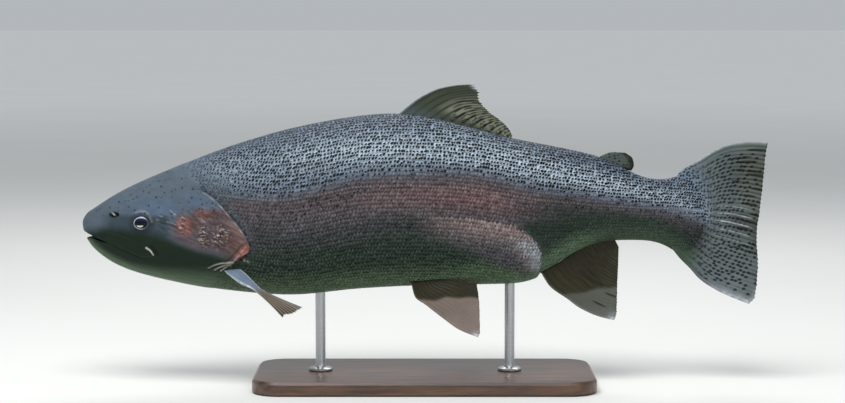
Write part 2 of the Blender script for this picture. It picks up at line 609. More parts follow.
def make_piece(name, points, faces, material, uvs=None, colours=None, smooth=True):
    """A mesh object. `faces` is a list of arrays of corners, one for each number of corners.

    `uvs` holds a coordinate for every face corner, in the order of the faces. `colours` holds four
    numbers for every point. `smooth` is one answer, or one for each face.
    """
    corners = np.concatenate([group.ravel() for group in faces]).astype(np.int32)
    sizes = np.concatenate([np.full(len(group), group.shape[1]) for group in faces])
    starts = np.concatenate([[0], np.cumsum(sizes)[:-1]]).astype(np.int32)
    mesh = bpy.data.meshes.new(name)
    mesh.vertices.add(len(points))
    mesh.vertices.foreach_set("co", to_world(points).astype(np.float32).ravel())
    mesh.loops.add(len(corners))
    mesh.loops.foreach_set("vertex_index", corners)
    mesh.polygons.add(len(starts))
    mesh.polygons.foreach_set("loop_start", starts)
    mesh.update(calc_edges=True)
    for layer, values in (uvs or {}).items():
        mesh.uv_layers.new(name=layer).uv.foreach_set("vector", values.astype(np.float32).ravel())
    for layer, values in (colours or {}).items():
        attribute = mesh.color_attributes.new(layer, "FLOAT_COLOR", "POINT")
        attribute.data.foreach_set("color", values.astype(np.float32).ravel())
    mesh.polygons.foreach_set("use_smooth", np.broadcast_to(smooth, len(starts)).copy())
    mesh.materials.append(material)
    piece = add_object(name, mesh)
    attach(piece, "root")
    return piece


def grid_faces(rows, columns, first=0, wrap=False):
    """Quads of a grid of points, row by row. The columns run on round it when it wraps."""
    row = np.arange(rows - 1)[:, None] * columns
    column = np.arange(columns if wrap else columns - 1)[None, :]
    following = (column + 1) % columns
    quads = [row + column, row + following, row + columns + following, row + columns + column]
    return first + np.stack(quads, axis=-1).reshape(-1, 4)


def closed_faces(rings, around, flip):
    """Triangles and quads of a grid wrapped round, with its first and last rings drawn in to a point."""
    keep = np.arange(rings * around)
    keep[:around], keep[-around:] = 0, (rings - 1) * around
    quads = keep[grid_faces(rings, around, wrap=True)]
    caps = np.concatenate([quads[:around][:, [0, 2, 3]], quads[-around:][:, [0, 1, 2]]])
    faces = [caps, quads[around:-around]]
    return [group[:, ::-1] for group in faces] if flip else faces


# ---- skin ----

HEAD_TURNS = 480                  # points round the head, and half as many round the body
HEAD_RINGS_END = 178
HEAD_RING_STEP = 0.55
BODY_RING_STEP = 2.0
TAIL_RINGS_FROM = 560
TAIL_RINGS = 48
HEAD_UNWRAP = 0.36                # the share of the unwrap that the head's rings take
SKIN_END = 634


def unwrap(behind, turn):
    """Where a place on the skin lies on the skin's own unwrap, which opens along the belly."""
    head = HEAD_UNWRAP * behind / HEAD_RINGS_END
    body = HEAD_UNWRAP + (1 - HEAD_UNWRAP) * (behind - HEAD_RINGS_END) / (SKIN_END - HEAD_RINGS_END)
    u = np.where(behind < HEAD_RINGS_END, head, body)
    return np.stack([0.004 + 0.992 * u, 0.004 + 0.992 * (turn / (2 * math.pi) + 0.25)], axis=-1)


def bow_tail_rings(place, turn):
    """Bends the last rings so that the skin ends along the tail root."""
    share = smoothstep(560, 612, place)
    behind = place + 0 * turn
    for _ in range(4):
        above = body_section(behind, turn)[..., 1]
        behind = place - share * (TAIL_ROOT[4][1] + behind_tail_root(0, above))
    return behind


def skin_patch(places, turns):
    """Points of the skin in rings, with the place and the turn that each was worked out from."""
    place, turn = np.meshgrid(places, turns, indexing="ij")
    behind = bow_tail_rings(place, turn)
    return open_mouth(skin_point(behind, turn)), place, turn


def skin_faces(head_rings, body_rings):
    """Triangles and quads: a cap at the snout, the head, a join to half as many points, and the body."""
    half_turns = HEAD_TURNS // 2
    first_head, first_body = 1, 1 + head_rings * HEAD_TURNS
    around, coarse = np.arange(HEAD_TURNS), np.arange(half_turns)
    cap = (0 * around, first_head + (around + 1) % HEAD_TURNS, first_head + around)
    last_head = first_body - HEAD_TURNS
    following = (coarse + 1) % half_turns
    fine = [last_head + 2 * coarse, last_head + 2 * coarse + 1, last_head + 2 * following]
    near, far = first_body + coarse, first_body + following
    join = [(fine[0], fine[1], near), (fine[1], far, near), (fine[1], fine[2], far)]
    triangles = np.concatenate([np.stack(corners, axis=-1) for corners in (cap, *join)])
    quads = np.concatenate([
        grid_faces(head_rings, HEAD_TURNS, first_head, wrap=True),
        grid_faces(body_rings, half_turns, first_body, wrap=True)])
    return triangles, quads


def skin_uvs(faces, place, turn):
    """The unwrap at every corner of the faces, some of which cross the line where it opens."""
    turns, places = turn[faces], place[faces]
    wraps = (np.ptp(turns, axis=1)[:, None] > math.pi) & (turns < 0)
    turns = np.where(wraps, turns + 2 * math.pi, turns)
    turns = np.where(places == 0, turns.max(axis=1, keepdims=True), turns)
    return unwrap(places, turns).reshape(-1, 2)


def build_skin(material):
    nose = NOSE_ROUNDING * (1 - np.cos(np.linspace(0, math.pi / 2, 16)[1:-1]))
    head_places = np.concatenate([nose, np.arange(NOSE_ROUNDING, HEAD_RINGS_END, HEAD_RING_STEP)])
    body_places = np.concatenate([
        np.arange(HEAD_RINGS_END + 0.8, TAIL_RINGS_FROM, BODY_RING_STEP),
        np.linspace(TAIL_RINGS_FROM, SKIN_END, TAIL_RINGS)])
    head_turns = -math.pi / 2 + 2 * math.pi * np.arange(HEAD_TURNS) / HEAD_TURNS
    head, head_place, head_turn = skin_patch(head_places, head_turns)
    body, body_place, body_turn = skin_patch(body_places, head_turns[::2])
    tip = skin_point(np.array([0.02]), np.array([0.0]))
    tip[0, 2] = 0
    points = np.concatenate([tip, head.reshape(-1, 3), body.reshape(-1, 3)])
    place = np.concatenate([[0], head_place.ravel(), body_place.ravel()])
    turn = np.concatenate([[0], head_turn.ravel(), body_turn.ravel()])
    faces = skin_faces(len(head_places), len(body_places))
    uv = np.concatenate([skin_uvs(group, place, turn) for group in faces])

    # The last ring is closed like a zip: each of its points joins the one across from it.
    half_turns = HEAD_TURNS // 2
    number = np.arange(half_turns)
    closed = np.arange(len(points))
    closed[-half_turns:] = len(points) - half_turns + np.minimum(number, (half_turns - number) % half_turns)
    piece = make_piece("skin", points, [closed[group] for group in faces], material,
                       uvs={"OFBake": uv}, colours=markings(points[:, 0], points[:, 1]))
    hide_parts("head", "lower_jaw", "maxilla_left", "maxilla_right", "gill_cover_left",
                "gill_cover_right", "trunk", "tail_stalk")


# ---- scales ----

SCALES_FROM, SCALES_TO = 96, 624
scale_step = smooth_line((96, 2.9), (150, 3.1), (250, 3.2), (450, 3.15), (560, 2.85), (624, 2.5))
row_pitch = smooth_line((96, 3.4), (150, 3.7), (250, 3.95), (420, 3.9), (520, 3.3), (624, 2.8))
ROW_SHIFT = 0.36                  # each row starts this share of a step behind the row under it
ROW_WAVER = 0.07                  # a row strays this share of its width up and down
RIDGE_CLEAR = 0.6                 # the rows end this far from the middle line of the back and the belly
ROW_WANDER = [(0.37, 1.7), (0.81, 4.3)]       # pace along a row, and turn from row to row, of its unevenness
SCALE_ROWS = [(-1.2, 0.4), (-0.5, 0.72), (0.15, 0.77), (0.56, 0.55)]     # along, and half its width
SCALE_TIP = 0.8
SCALE_UNDER = (-0.1, 0, -1.4)     # the point under a scale: along, across and down
TOP_TRIANGLES = 2                 # the first triangles of a scale close its tip, and the rest its underside
LAP = (-0.3, 0.26)                # how high the front and the rear of a scale lie over the skin
COAT_ROWS = [("belly", -400, -0.62), ("flank", -0.62, 0.32), ("back", 0.32, 400)]
ROWS_EACH_WAY = 50                # up and down from the lateral line, more than there is room for
PATCH_SIZE = 0.003                # of one scale on the bake map
PATCH_SHARES = np.array([0.5, 0.66])          # bring a scale's length and width to about 1


def scale_shape():
    """Points (along, across, dome) of one scale, in pitches, and its faces."""
    points = [(along, side * half, 0.0 if side else 1.0) for along, half in SCALE_ROWS for side in (-1, 0, 1)]
    points.append((SCALE_TIP, 0, 0.3))
    points.append(SCALE_UNDER)
    tip, under = len(points) - 2, len(points) - 1
    quads = [(3 * row + i, 3 * row + i + 1, 3 * row + i + 4, 3 * row + i + 3)
             for row in range(len(SCALE_ROWS) - 1) for i in (0, 1)]
    last = 3 * (len(SCALE_ROWS) - 1)
    rim = [0, *range(3, last + 1, 3), tip, *range(last + 2, 1, -3), 1]
    triangles = [(last, last + 1, tip), (last + 1, last + 2, tip)]
    triangles += [(rim[i - 1], rim[i], under) for i in range(len(rim))]
    return np.array(points), np.array(quads), np.array(triangles)


def scale_rows(side, stations):
    """Turn, turn for each millimetre up, and level of every row of scales at each station."""
    half_turn = np.linspace(-math.pi / 2, math.pi / 2, 500)
    turns = half_turn if side > 0 else math.pi - half_turn
    rows = np.arange(-ROWS_EACH_WAY, ROWS_EACH_WAY + 1)
    tables = np.full((3, len(rows), len(stations)), np.nan)
    for i, behind in enumerate(stations):
        waver = ROW_WAVER * np.sin(0.12 * behind + 2.4 * rows)
        section = body_section(np.full(len(turns), behind), turns)
        lengths = np.concatenate([[0], np.cumsum(np.linalg.norm(np.diff(section, axis=0), axis=1))])
        at = np.interp(lateral_line(behind), section[:, 1], lengths) + (rows + waver) * row_pitch(behind)
        spare = row_pitch(behind) / 2 if side > 0 else 0
        on_body = (at > RIDGE_CLEAR - spare) & (at < lengths[-1] - RIDGE_CLEAR + spare)
        at = np.clip(at[on_body], RIDGE_CLEAR, lengths[-1] - RIDGE_CLEAR)
        tables[0, on_body, i] = np.interp(at, lengths, turns)
        tables[1, on_body, i] = np.interp(at + 0.5, lengths, turns) - np.interp(at - 0.5, lengths, turns)
        tables[2, on_body, i] = np.interp(at, lengths, section[:, 1])
    return rows, tables


def scale_places(side):
    """Roots of one side's scales: (behind, turn, turn for each millimetre up, row, share of the way up)."""
    stations = np.arange(SCALES_FROM, SCALES_TO, 1.0)
    passed = np.concatenate([[0], np.cumsum(1 / scale_step(stations[:-1]))])
    rows, tables = scale_rows(side, stations)
    found = []
    for row, (turns, slopes, levels) in zip(rows, np.moveaxis(tables, 1, 0)):
        numbers = np.arange(int(passed[-1])) + (ROW_SHIFT * row) % 1
        numbers = numbers + sum(0.2 * np.sin(numbers * pace + row * phase) for pace, phase in ROW_WANDER)
        behind = np.interp(numbers, passed, stations)
        turn, slope, level = (np.interp(behind, stations, table) for table in (turns, slopes, levels))
        line = lateral_line(behind)
        room = np.where(level < line, line - belly_line(behind), back_line(behind) - line)
        share = (level - line) / room
        found.append(np.stack([behind, turn, slope, np.full(len(behind), row), share], axis=-1))
    places = np.concatenate(found)
    places = places[np.isfinite(places).all(axis=1)]
    root = body_section(places[:, 0], places[:, 1])
    clear = (behind_shoulder(root[:, 0], root[:, 1]) > 1.5) & (behind_tail_root(root[:, 0], root[:, 1]) < 4)
    return places[clear]


def build_scales(material):
    """Three coat pieces on each side, parted by rows."""
    shape, quads, triangles = scale_shape()
    for side_name, side in SIDES.items():
        places = scale_places(side)
        for part, low, high in COAT_ROWS:
            chosen = places[(places[:, 4] > low) & (places[:, 4] <= high)]
            build_coat_piece(f"scales_{part}_{side_name}", chosen, side, shape, quads, triangles, material)


def coat_points(places, root, shape):
    """Every point of the scales at some places. Each scale differs a little in size, place and lift."""
    count = len(places)
    behind, turn, slope = places[:, 0], places[:, 1], places[:, 2]
    jitter = random.normal(0, 0.09, (count, 2))
    young = smoothstep(0, 22, behind_shoulder(root[:, 0], root[:, 1]))
    ending = smoothstep(4, -24, behind_tail_root(root[:, 0], root[:, 1]))
    growth = (0.8 + 0.2 * young) * random.normal(1, 0.035, count)
    along = (shape[None, :, 0] * growth[:, None] + jitter[:, :1]) * scale_step(behind)[:, None]
    across = (shape[None, :, 1] * growth[:, None] + jitter[:, 1:] * 0.6) * row_pitch(behind)[:, None]
    rise = LAP[0] + (LAP[1] - LAP[0]) * smoothstep(-1.2, 0.75, shape[None, :, 0]) + 0.05 * shape[None, :, 2]
    spotted = smoothstep(-8, 6, root[:, 1] - spots_end(root[:, 0]))
    low = smoothstep(10, -12, root[:, 1] - belly_edge(root[:, 0]))
    flatness = (0.5 + 0.5 * young * ending) * (0.52 + 0.36 * spotted - 0.1 * low)
    rise = rise * (flatness * random.normal(1, 0.14, count))[:, None]
    return skin_point(behind[:, None] + along, turn[:, None] + across * slope[:, None], rise).reshape(-1, 3)


def build_coat_piece(name, places, side, shape, quads, triangles, material):
    """One piece of the coat: a copy of the scale's shape at every place, joined in one mesh."""
    count, size = len(places), len(shape)
    behind, turn = places[:, 0], places[:, 1]
    root = body_section(behind, turn)
    points = coat_points(places, root, shape)

    first = (np.arange(count) * size)[:, None, None]
    all_quads = (first + quads[None]).reshape(-1, 4)
    all_triangles = (first + triangles[None]).reshape(-1, 3)
    if side < 0:
        all_quads, all_triangles = all_quads[:, ::-1], all_triangles[:, ::-1]
    corners = np.concatenate([all_triangles.ravel(), all_quads.ravel()])
    on_top = np.tile(np.arange(len(triangles)) < TOP_TRIANGLES, count)
    smooth = np.concatenate([on_top, np.full(len(all_quads), True)])

    local = np.tile(shape[:, :2], (count, 1))
    root_place = unwrap(behind, np.where(turn < -math.pi / 2, turn + 2 * math.pi, turn))
    bake = (root_place[:, None] + PATCH_SIZE * PATCH_SHARES * shape[None, :, :2]).reshape(-1, 2)
    marks = markings(root[:, 0], root[:, 1])
    marks["chance"] = random.random((count, 4))
    marks["chance"][:, 3] = places[:, 3] == 0
    colours = {layer: np.repeat(values, size, axis=0) for layer, values in marks.items()}
    make_piece(name, points, [all_triangles, all_quads], material, smooth=smooth,
               uvs={"OFBake": bake[corners], "scale": local[corners]}, colours=colours)


# ---- fins ----

FIN_MEMBRANE = 0.42               # thickness between the rays
FIN_RAY = 0.55                    # how much thicker a ray is near the root


def coons_patch(root, margin, leading, trailing):
    """A smooth patch between four lines that share their ends, as a function of (u, v)."""
    root, margin = np.array(root, float), np.array(margin, float)
    inner, outer = smooth_path(root), smooth_path(margin)
    front, rear = smooth_path([root[0], *leading, margin[0]]), smooth_path([root[-1], *trailing, margin[-1]])
    corners = [root[0], root[-1], margin[0], margin[-1]]

    def patch(u, v):
        point = inner(u) * (1 - v)[..., None] + outer(u) * v[..., None]
        point = point + front(v) * (1 - u)[..., None] + rear(v) * u[..., None]
        shares = [(1 - u) * (1 - v), u * (1 - v), (1 - u) * v, u * v]
        return point - sum(corner * share[..., None] for corner, share in zip(corners, shares))

    return patch


def sheet_faces(rows, columns):
    """Quads of a closed sheet: a grid of points, the same grid on its other side, and the rim."""
    total = rows * columns
    rim = np.concatenate([
        np.arange(columns), np.arange(2 * columns - 1, total, columns),
        total - 2 - np.arange(columns - 1), np.arange(total - 2 * columns, 0, -columns)])
    front = grid_faces(rows, columns)
    following = np.roll(rim, -1)
    edge = np.stack([following, rim, rim + total, following + total], axis=-1)
    return np.concatenate([front, front[:, ::-1] + total, edge])


def build_sheet(name, front, back, ray_place, marks, material):
    """A closed sheet from its two sides, which carry the same marks and lie the same way among the rays."""
    points = np.concatenate([front.reshape(-1, 3), back.reshape(-1, 3)])
    quads = sheet_faces(*front.shape[:2])
    ray_uv = np.tile(np.stack(ray_place, axis=-1).reshape(-1, 2), (2, 1))
    colours = {layer: np.tile(values.reshape(-1, 4), (2, 1)) for layer, values in marks.items()}
    return make_piece(name, points, [quads], material, uvs={"ray": ray_uv[quads.ravel()]},
                      colours=colours)


def middle_root(line, start, end, sink):
    """A fin's root along the middle of the back or the belly, sunk into the body."""
    return [(behind, float(line(behind)) - sink, 0) for behind in np.linspace(start, end, 5)]


def flat_points(*points):
    return [(behind, above, 0) for behind, above in points]


FINS = {
    "fin_dorsal": {
        "root": middle_root(back_line, 313, 428, 4),
        "leading": flat_points((324, 115.5), (338, 125.8), (358, 135), (378, 138.3)),
        "margin": flat_points(
            (392, 139), (397, 135), (399, 122.5), (407, 112), (420, 102), (426, 96), (430, 88)),
        "trailing": [],
        "thick": 4.2, "rays": 12, "rows": 48, "ragged": 0.05, "wave": 1.3, "split": 0.45,
    },
    "fin_anal": {
        "root": middle_root(belly_line, 459, 532, -4),
        "leading": flat_points((468.5, -64), (486, -76.5), (498, -85.4), (518, -94.4)),
        "margin": flat_points((533, -98), (536, -92), (536.5, -60), (537, -24)),
        "trailing": [],
        "thick": 4.2, "rays": 12, "rows": 44, "ragged": 0.012, "wave": 1.2, "split": 0.45,
    },
    "fin_caudal": {
        "root": flat_points((589, 40), (604, 28), (615, 8), (604, -12), (589, -24)),
        "leading": flat_points((598, 51.5), (609, 59), (618, 64), (633, 73.5), (650, 79.6), (670, 81.4)),
        "margin": flat_points(
            (684.9, 80.5), (682, 52), (679, 19), (675.5, -13), (677.5, -42), (675, -75), (669, -82)),
        "trailing": flat_points((598.6, -35.7), (609, -46), (618, -56), (638, -69), (655, -76.5)),
        "thick": 7.0, "rays": 19, "rows": 72, "ragged": 0.012, "wave": 1.6, "split": 0.3,
    },
}
RIGHT_PECTORAL_RISE = 0.13        # the far pectoral is held higher: millimetres up for each one back
PAIRED_FINS = {
    "fin_pelvic": {
        "root": [(329, -57, 21), (344, -56, 22), (359, -54, 21)],
        "leading": [(333, -71, 26), (343.5, -78.5, 29), (358, -89.3, 33), (377.5, -102.5, 38)],
        "margin": [(395, -109, 42), (397.7, -105, 41), (397.3, -81, 35), (394.5, -57, 28)],
        "trailing": [(376.5, -55, 27)],
        "thick": 4.2, "rays": 10, "rows": 38, "ragged": 0.012, "wave": 0.8, "split": 0.45,
    },
    "fin_pectoral": {
        "root": [(142, -43, 27), (148, -42, 28), (154, -41, 28)],
        "leading": [(149.6, -48.3, 34), (161, -55, 40), (172, -59.2, 46), (180.3, -65, 50), (193, -76.3, 55)],
        "margin": [(203.5, -87, 58), (212, -85.2, 54), (220, -82, 49), (224, -79.5, 43)],
        "trailing": [(162.3, -44, 33), (172, -54, 33), (181, -62.5, 34), (200, -70.7, 38)],
        "thick": 3.8, "rays": 8, "rows": 52, "ragged": 0.035, "wave": 0.4, "split": 0.8,
        "right_rise": RIGHT_PECTORAL_RISE,
    },
}
STEPS_PER_RAY = 14
TAIL_BUNDLES = [(0.425, 0.4), (0.475, 0.7), (0.53, 1.0), (0.585, 0.6), (0.64, 0.35)]     # place, strength


def ray_height(u, v, rays, split):
    """Ridges along the rays, each of which forks further out. 1 on a ray, 0 between rays."""
    near = 1 - np.exp(-(np.cos(math.pi * u * rays) / 0.55) ** 2)
    forked = 1 - np.exp(-(np.sin(2 * math.pi * u * rays) / 0.6) ** 2)
    share = smoothstep(split, split + 0.3, v)
    return near * (1 - share) + forked * share * 0.8


def ragged_reach(name, fin, u, v, side):
    """How far out each point lies, when the free edge is torn back a little between the rays."""
    draw = np.random.default_rng(len(name) * 31 + fin["rays"] + (side > 0))
    branches = fin["rays"] * 2
    ray_tips = draw.uniform(0.0, 0.6, branches + 2)
    between = np.abs(np.sin(math.pi * u * branches)) ** 0.8
    torn = between * 0.6 + np.interp(u * branches, np.arange(len(ray_tips)), ray_tips)
    return v * (1 - fin["ragged"] * torn * smoothstep(0, 0.08, u) * smoothstep(0.55, 1, v))


def half_thickness(fin, u, v, ray):
    """Thick at the root and the leading edge, thin between the rays, thinnest at the free edges."""
    body = (fin["thick"] - FIN_MEMBRANE) * (1 - v) ** 2.4 * smoothstep(0, 0.02, u + 0.01)
    edge = smoothstep(0, 0.012, u) * smoothstep(1, 0.992, u) * smoothstep(1, 0.985, v)
    lead = 0.7 * bell(0, 0.05, u) * (1 - v)
    half = 0.5 * (FIN_MEMBRANE + (FIN_RAY * (1 - 0.6 * v)) * ray + body + lead) * (0.25 + 0.75 * edge)
    return half * np.where((u == 0) | (u == 1) | (v == 1), 0.2, 1)


def build_fin(name, piece_name, fin, material, side=1):
    """A fin as a closed sheet: u runs along its root from the front, and v runs out to its free edge."""
    start = fin["root"][0][0]
    rise = fin.get("right_rise", 0) if side > 0 else 0
    patch = coons_patch(*(
        [(behind, above + rise * (behind - start), side * out) for behind, above, out in fin[key]]
        for key in ("root", "margin", "leading", "trailing")))
    columns = np.linspace(0, 1, fin["rays"] * STEPS_PER_RAY + 1)
    u, v = np.meshgrid(columns, np.linspace(0, 1, fin["rows"]), indexing="ij")
    middle = patch(u, ragged_reach(name, fin, u, v, side))
    facing = unit(np.cross(np.gradient(middle, axis=0), np.gradient(middle, axis=1)))
    ray = ray_height(u, v, fin["rays"], fin["split"])
    wave = fin["wave"] * v * (np.sin(5.2 * u + 1.7 * v + side) * 0.7 + np.sin(13 * u - 2 * v) * 0.3 * v)
    half = half_thickness(fin, u, v, ray)
    front, back = (middle + facing * (wave + lift)[..., None] for lift in (half, -half))
    marks = fin_marks(name, u, v, ray, middle)
    if name == "fin_caudal":
        marks.update(markings(middle[..., 0], middle[..., 1]))
    return build_sheet(piece_name, front, back, (u * fin["rays"], v), marks, material)


# ---- marks on the fins: u runs back along the root, and v runs out to the free edge ----

def dorsal_marks(u, v, behind, above):
    front = smoothstep(0.8, 0.3, u)
    return {
        "spots": 0.6 * smoothstep(0.05, 0.2, v) * smoothstep(0.7, 0.4, v) * smoothstep(0.25, 0.6, u),
        "streaks": smoothstep(0.18, 0.4, v) * smoothstep(0.15, 0.4, u),
        "shade": (0.14 + 0.45 * front * smoothstep(0.02, 0.3, v)
                  + 0.3 * bell(0.5, 0.25, u) * smoothstep(0.3, 0.05, v)),
        "pale": 0.5 * bell(0, 0.3, u) * smoothstep(0.4, 0.05, v),
        "white": 0.9 * bell(1, 0.04, v) * bell(0.05, 0.06, u) + 0.3 * bell(0, 0.012, u)}


def caudal_marks(u, v, behind, above):
    rear_shade = smoothstep(0.42, 0.85, v) * (bell(0.2, 0.17, u) + 0.9 * bell(0.52, 0.1, u))
    spots = smoothstep(1.05, 0.8, v) * smoothstep(0.02, 0.14, u) * smoothstep(1.0, 0.9, u)
    bundles = sum(share * bell(place, 0.0035, u + 0.012 * (1 - v)) for place, share in TAIL_BUNDLES)
    rims = 0.5 * bell(0, 0.008, u) + 0.75 * bell(1, 0.03, u) * smoothstep(0.4, 0.8, v)
    return {
        "spots": spots * (1 - 0.35 * rear_shade),
        "streaks": smoothstep(0.6, 0.85, v) * (0.2 + 0.35 * bell(0.25, 0.25, u)),
        "shade": 0.8 * rear_shade + 0.2 * smoothstep(0.7, 1, v),
        "pale": 0.4 * smoothstep(0.7, 0.95, u) * smoothstep(0.3, 0.7, v),
        "white": (bundles * smoothstep(0.35, 0.5, v) * smoothstep(1, 0.8, v) + rims
                  + 0.6 * bell(1, 0.03, v) * bell(1, 0.07, u)),
        "root": smoothstep(0.42, 0.12, v)}


def anal_marks(u, v, behind, above):
    over_line = above - (-71 + 0.17 * (behind - 489) + 0.8 * np.sin(0.21 * behind))
    return {
        "streaks": 0.12 * smoothstep(0.5, 0.8, v),
        "shade": (0.75 + 0.25 * smoothstep(0.1, 0.4, u)) * smoothstep(-2.5, 2, over_line),
        "pale": smoothstep(2, -2.5, over_line) * (0.5 + 0.35 * smoothstep(-80, -94, above)),
        "white": 0.8 * soft_spot((533, -98), (6, 6), behind, above) + 0.35 * bell(0, 0.015, u)}


def pelvic_marks(u, v, behind, above):
    over_line = above - (-73.5 + 0.5 * np.sin(0.28 * behind) + 3 * smoothstep(350, 366, behind))
    tip = soft_spot((394, -108), (4, 4), behind, above)
    return {
        "shade": 0.95 * smoothstep(-2.4, 1.6, over_line) * smoothstep(0.0, 0.07, u),
        "pale": smoothstep(1.6, -2.4, over_line) * (0.8 + 0.2 * smoothstep(-84, -100, above)),
        "white": 0.9 * tip + 0.35 * bell(0, 0.012, u) * (over_line < 0)}


def pectoral_marks(u, v, behind, above):
    blade = smoothstep(0.6, 0.42, v)
    gap = 0.5 - 0.5 * np.cos(2 * math.pi * u * PAIRED_FINS["fin_pectoral"]["rays"])
    edges = np.minimum(bell(0, 0.07, u) + bell(1, 0.07, u) + bell(0, 0.05, v), 1)
    return {
        "shade": smoothstep(0.45, 0.62, v) * np.clip(0.95 * gap + 0.15 * smoothstep(0.7, 1, v), 0, 1),
        "pale": blade,
        "white": blade * 0.9 * edges + 0.2 * (1 - blade) * bell(0.9, 0.2, u)}


FIN_MARKS = {"fin_dorsal": dorsal_marks, "fin_caudal": caudal_marks, "fin_anal": anal_marks,
             "fin_pelvic": pelvic_marks, "fin_pectoral": pectoral_marks}


def fin_marks(name, u, v, ray, middle):
    """Shares of (ray, pale, dark shade, spots) and of (streaks, white, body colour, forked rays) on a fin."""
    found = FIN_MARKS[name](u, v, middle[..., 0], middle[..., 1])
    pale, shade, spots, streaks, white, root = (
        found.get(key, 0) for key in ("pale", "shade", "spots", "streaks", "white", "root"))
    return {"marks_fin": four_shares(ray, pale, shade, spots),
            "marks_fin_edge": four_shares(streaks, np.clip(white, 0, 1), root, smoothstep(0.25, 0.5, v))}


ADIPOSE_RAYS = 6
ADIPOSE_STEPS = 40


def build_adipose(material):
    """The small soft fin: a rounded lobe with a dark rim."""
    root = middle_root(back_line, 514, 532, 4)
    patch = coons_patch(root, flat_points((543, 70.5), (550, 65), (551.5, 58), (549, 52.5)),
                        flat_points((520, 68.2), (530, 71.2)), flat_points((541, 54)))
    steps = np.linspace(0, 1, ADIPOSE_STEPS)
    u, v = np.meshgrid(steps, steps, indexing="ij")
    round_edge = np.sqrt(np.clip(1 - (2 * u - 1) ** 4, 0, 1)) * np.sqrt(1 - v ** 4)
    half = (0.3 + 2.0 * (1 - 0.6 * v)) * round_edge
    front, back = (patch(u, v) + np.stack([0 * u, 0 * u, lift], axis=-1) for lift in (half, -half))
    dark_rim = strongest(smoothstep(0.7, 0.95, v), smoothstep(0.75, 0.95, u))
    ray = 0.5 + 0.5 * np.cos(2 * math.pi * ADIPOSE_RAYS * u)
    marks = {"marks_fin": four_shares(0.5 * ray, 0.25 * (1 - dark_rim), dark_rim, 0.5 * (1 - dark_rim)),
             "marks_fin_edge": four_shares(0 * u)}
    piece = build_sheet("fin_adipose_lobe", front, back, (u * ADIPOSE_RAYS, v * 0.4), marks, material)
    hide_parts("fin_adipose")


# ---- eyes ----

EYE_SEMI_AXES = (9.0, 4.6, 8.0)   # along, out, up
EYE_DEPTH = 2.6
PUPIL = (0.81, 0.79)              # the pupil's half length and height, as shares of the opening
PUPIL_AHEAD = 1.06                # how much longer it is towards the snout
EYE_TURN = 0.12                   # where round the body the flesh beside the eye is measured
EYE_GRID = (56, 96)               # rings from the front of the ball to its back, and points round each


def build_eye(side_name, side, material):
    """A flattened ball: the silvery iris, and a pupil drawn out towards the snout, under a clear gloss."""
    surface = body_section(np.array(EYE_PLACE[0]), np.array(EYE_TURN))[2]
    rings, around = EYE_GRID
    share, turn = np.meshgrid(np.linspace(0, 1, rings), 2 * math.pi * np.arange(around) / around,
                              indexing="ij")
    angle = share * math.pi
    along = EYE_SEMI_AXES[0] * np.sin(angle) * np.cos(turn)
    outward = np.cos(angle)
    up = EYE_SEMI_AXES[2] * np.sin(angle) * np.sin(turn)
    opening = np.hypot(along / EYE_OPENING[0], up / EYE_OPENING[1])
    bulge = 0.25 * bell(0.72, 0.2, opening) * (outward > 0)
    out = surface - EYE_DEPTH - HEAD_INSET + EYE_SEMI_AXES[1] * outward + bulge
    points = np.stack([EYE_PLACE[0] + along, EYE_PLACE[1] + up, side * out], axis=-1).reshape(-1, 3)

    ahead = np.where(along < 0, PUPIL_AHEAD, 1.0)
    pupil = np.hypot(along / (EYE_OPENING[0] * PUPIL[0] * ahead), up / (EYE_OPENING[1] * PUPIL[1]))
    aside = along + 1.2
    crescent = np.hypot(aside / 3.3, (up + 3.1 - 0.08 * aside ** 2) / 0.8)
    glint = smoothstep(1.15, 0.75, crescent) * (outward > 0)
    marks = four_shares(pupil, opening, turn / (2 * math.pi), glint).reshape(-1, 4)
    piece = make_piece(f"eyeball_{side_name}", points, closed_faces(rings, around, flip=side < 0),
                       material, colours={"marks_eye": marks})
    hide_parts(f"eye_{side_name}")


# ---- materials ----

def srgb(red, green, blue):
    """A colour given as 0 to 255, for a shader."""
    parts = [part / 255 for part in (red, green, blue)]
    return (*[part / 12.92 if part <= 0.04045 else ((part + 0.055) / 1.055) ** 2.4 for part in parts], 1)


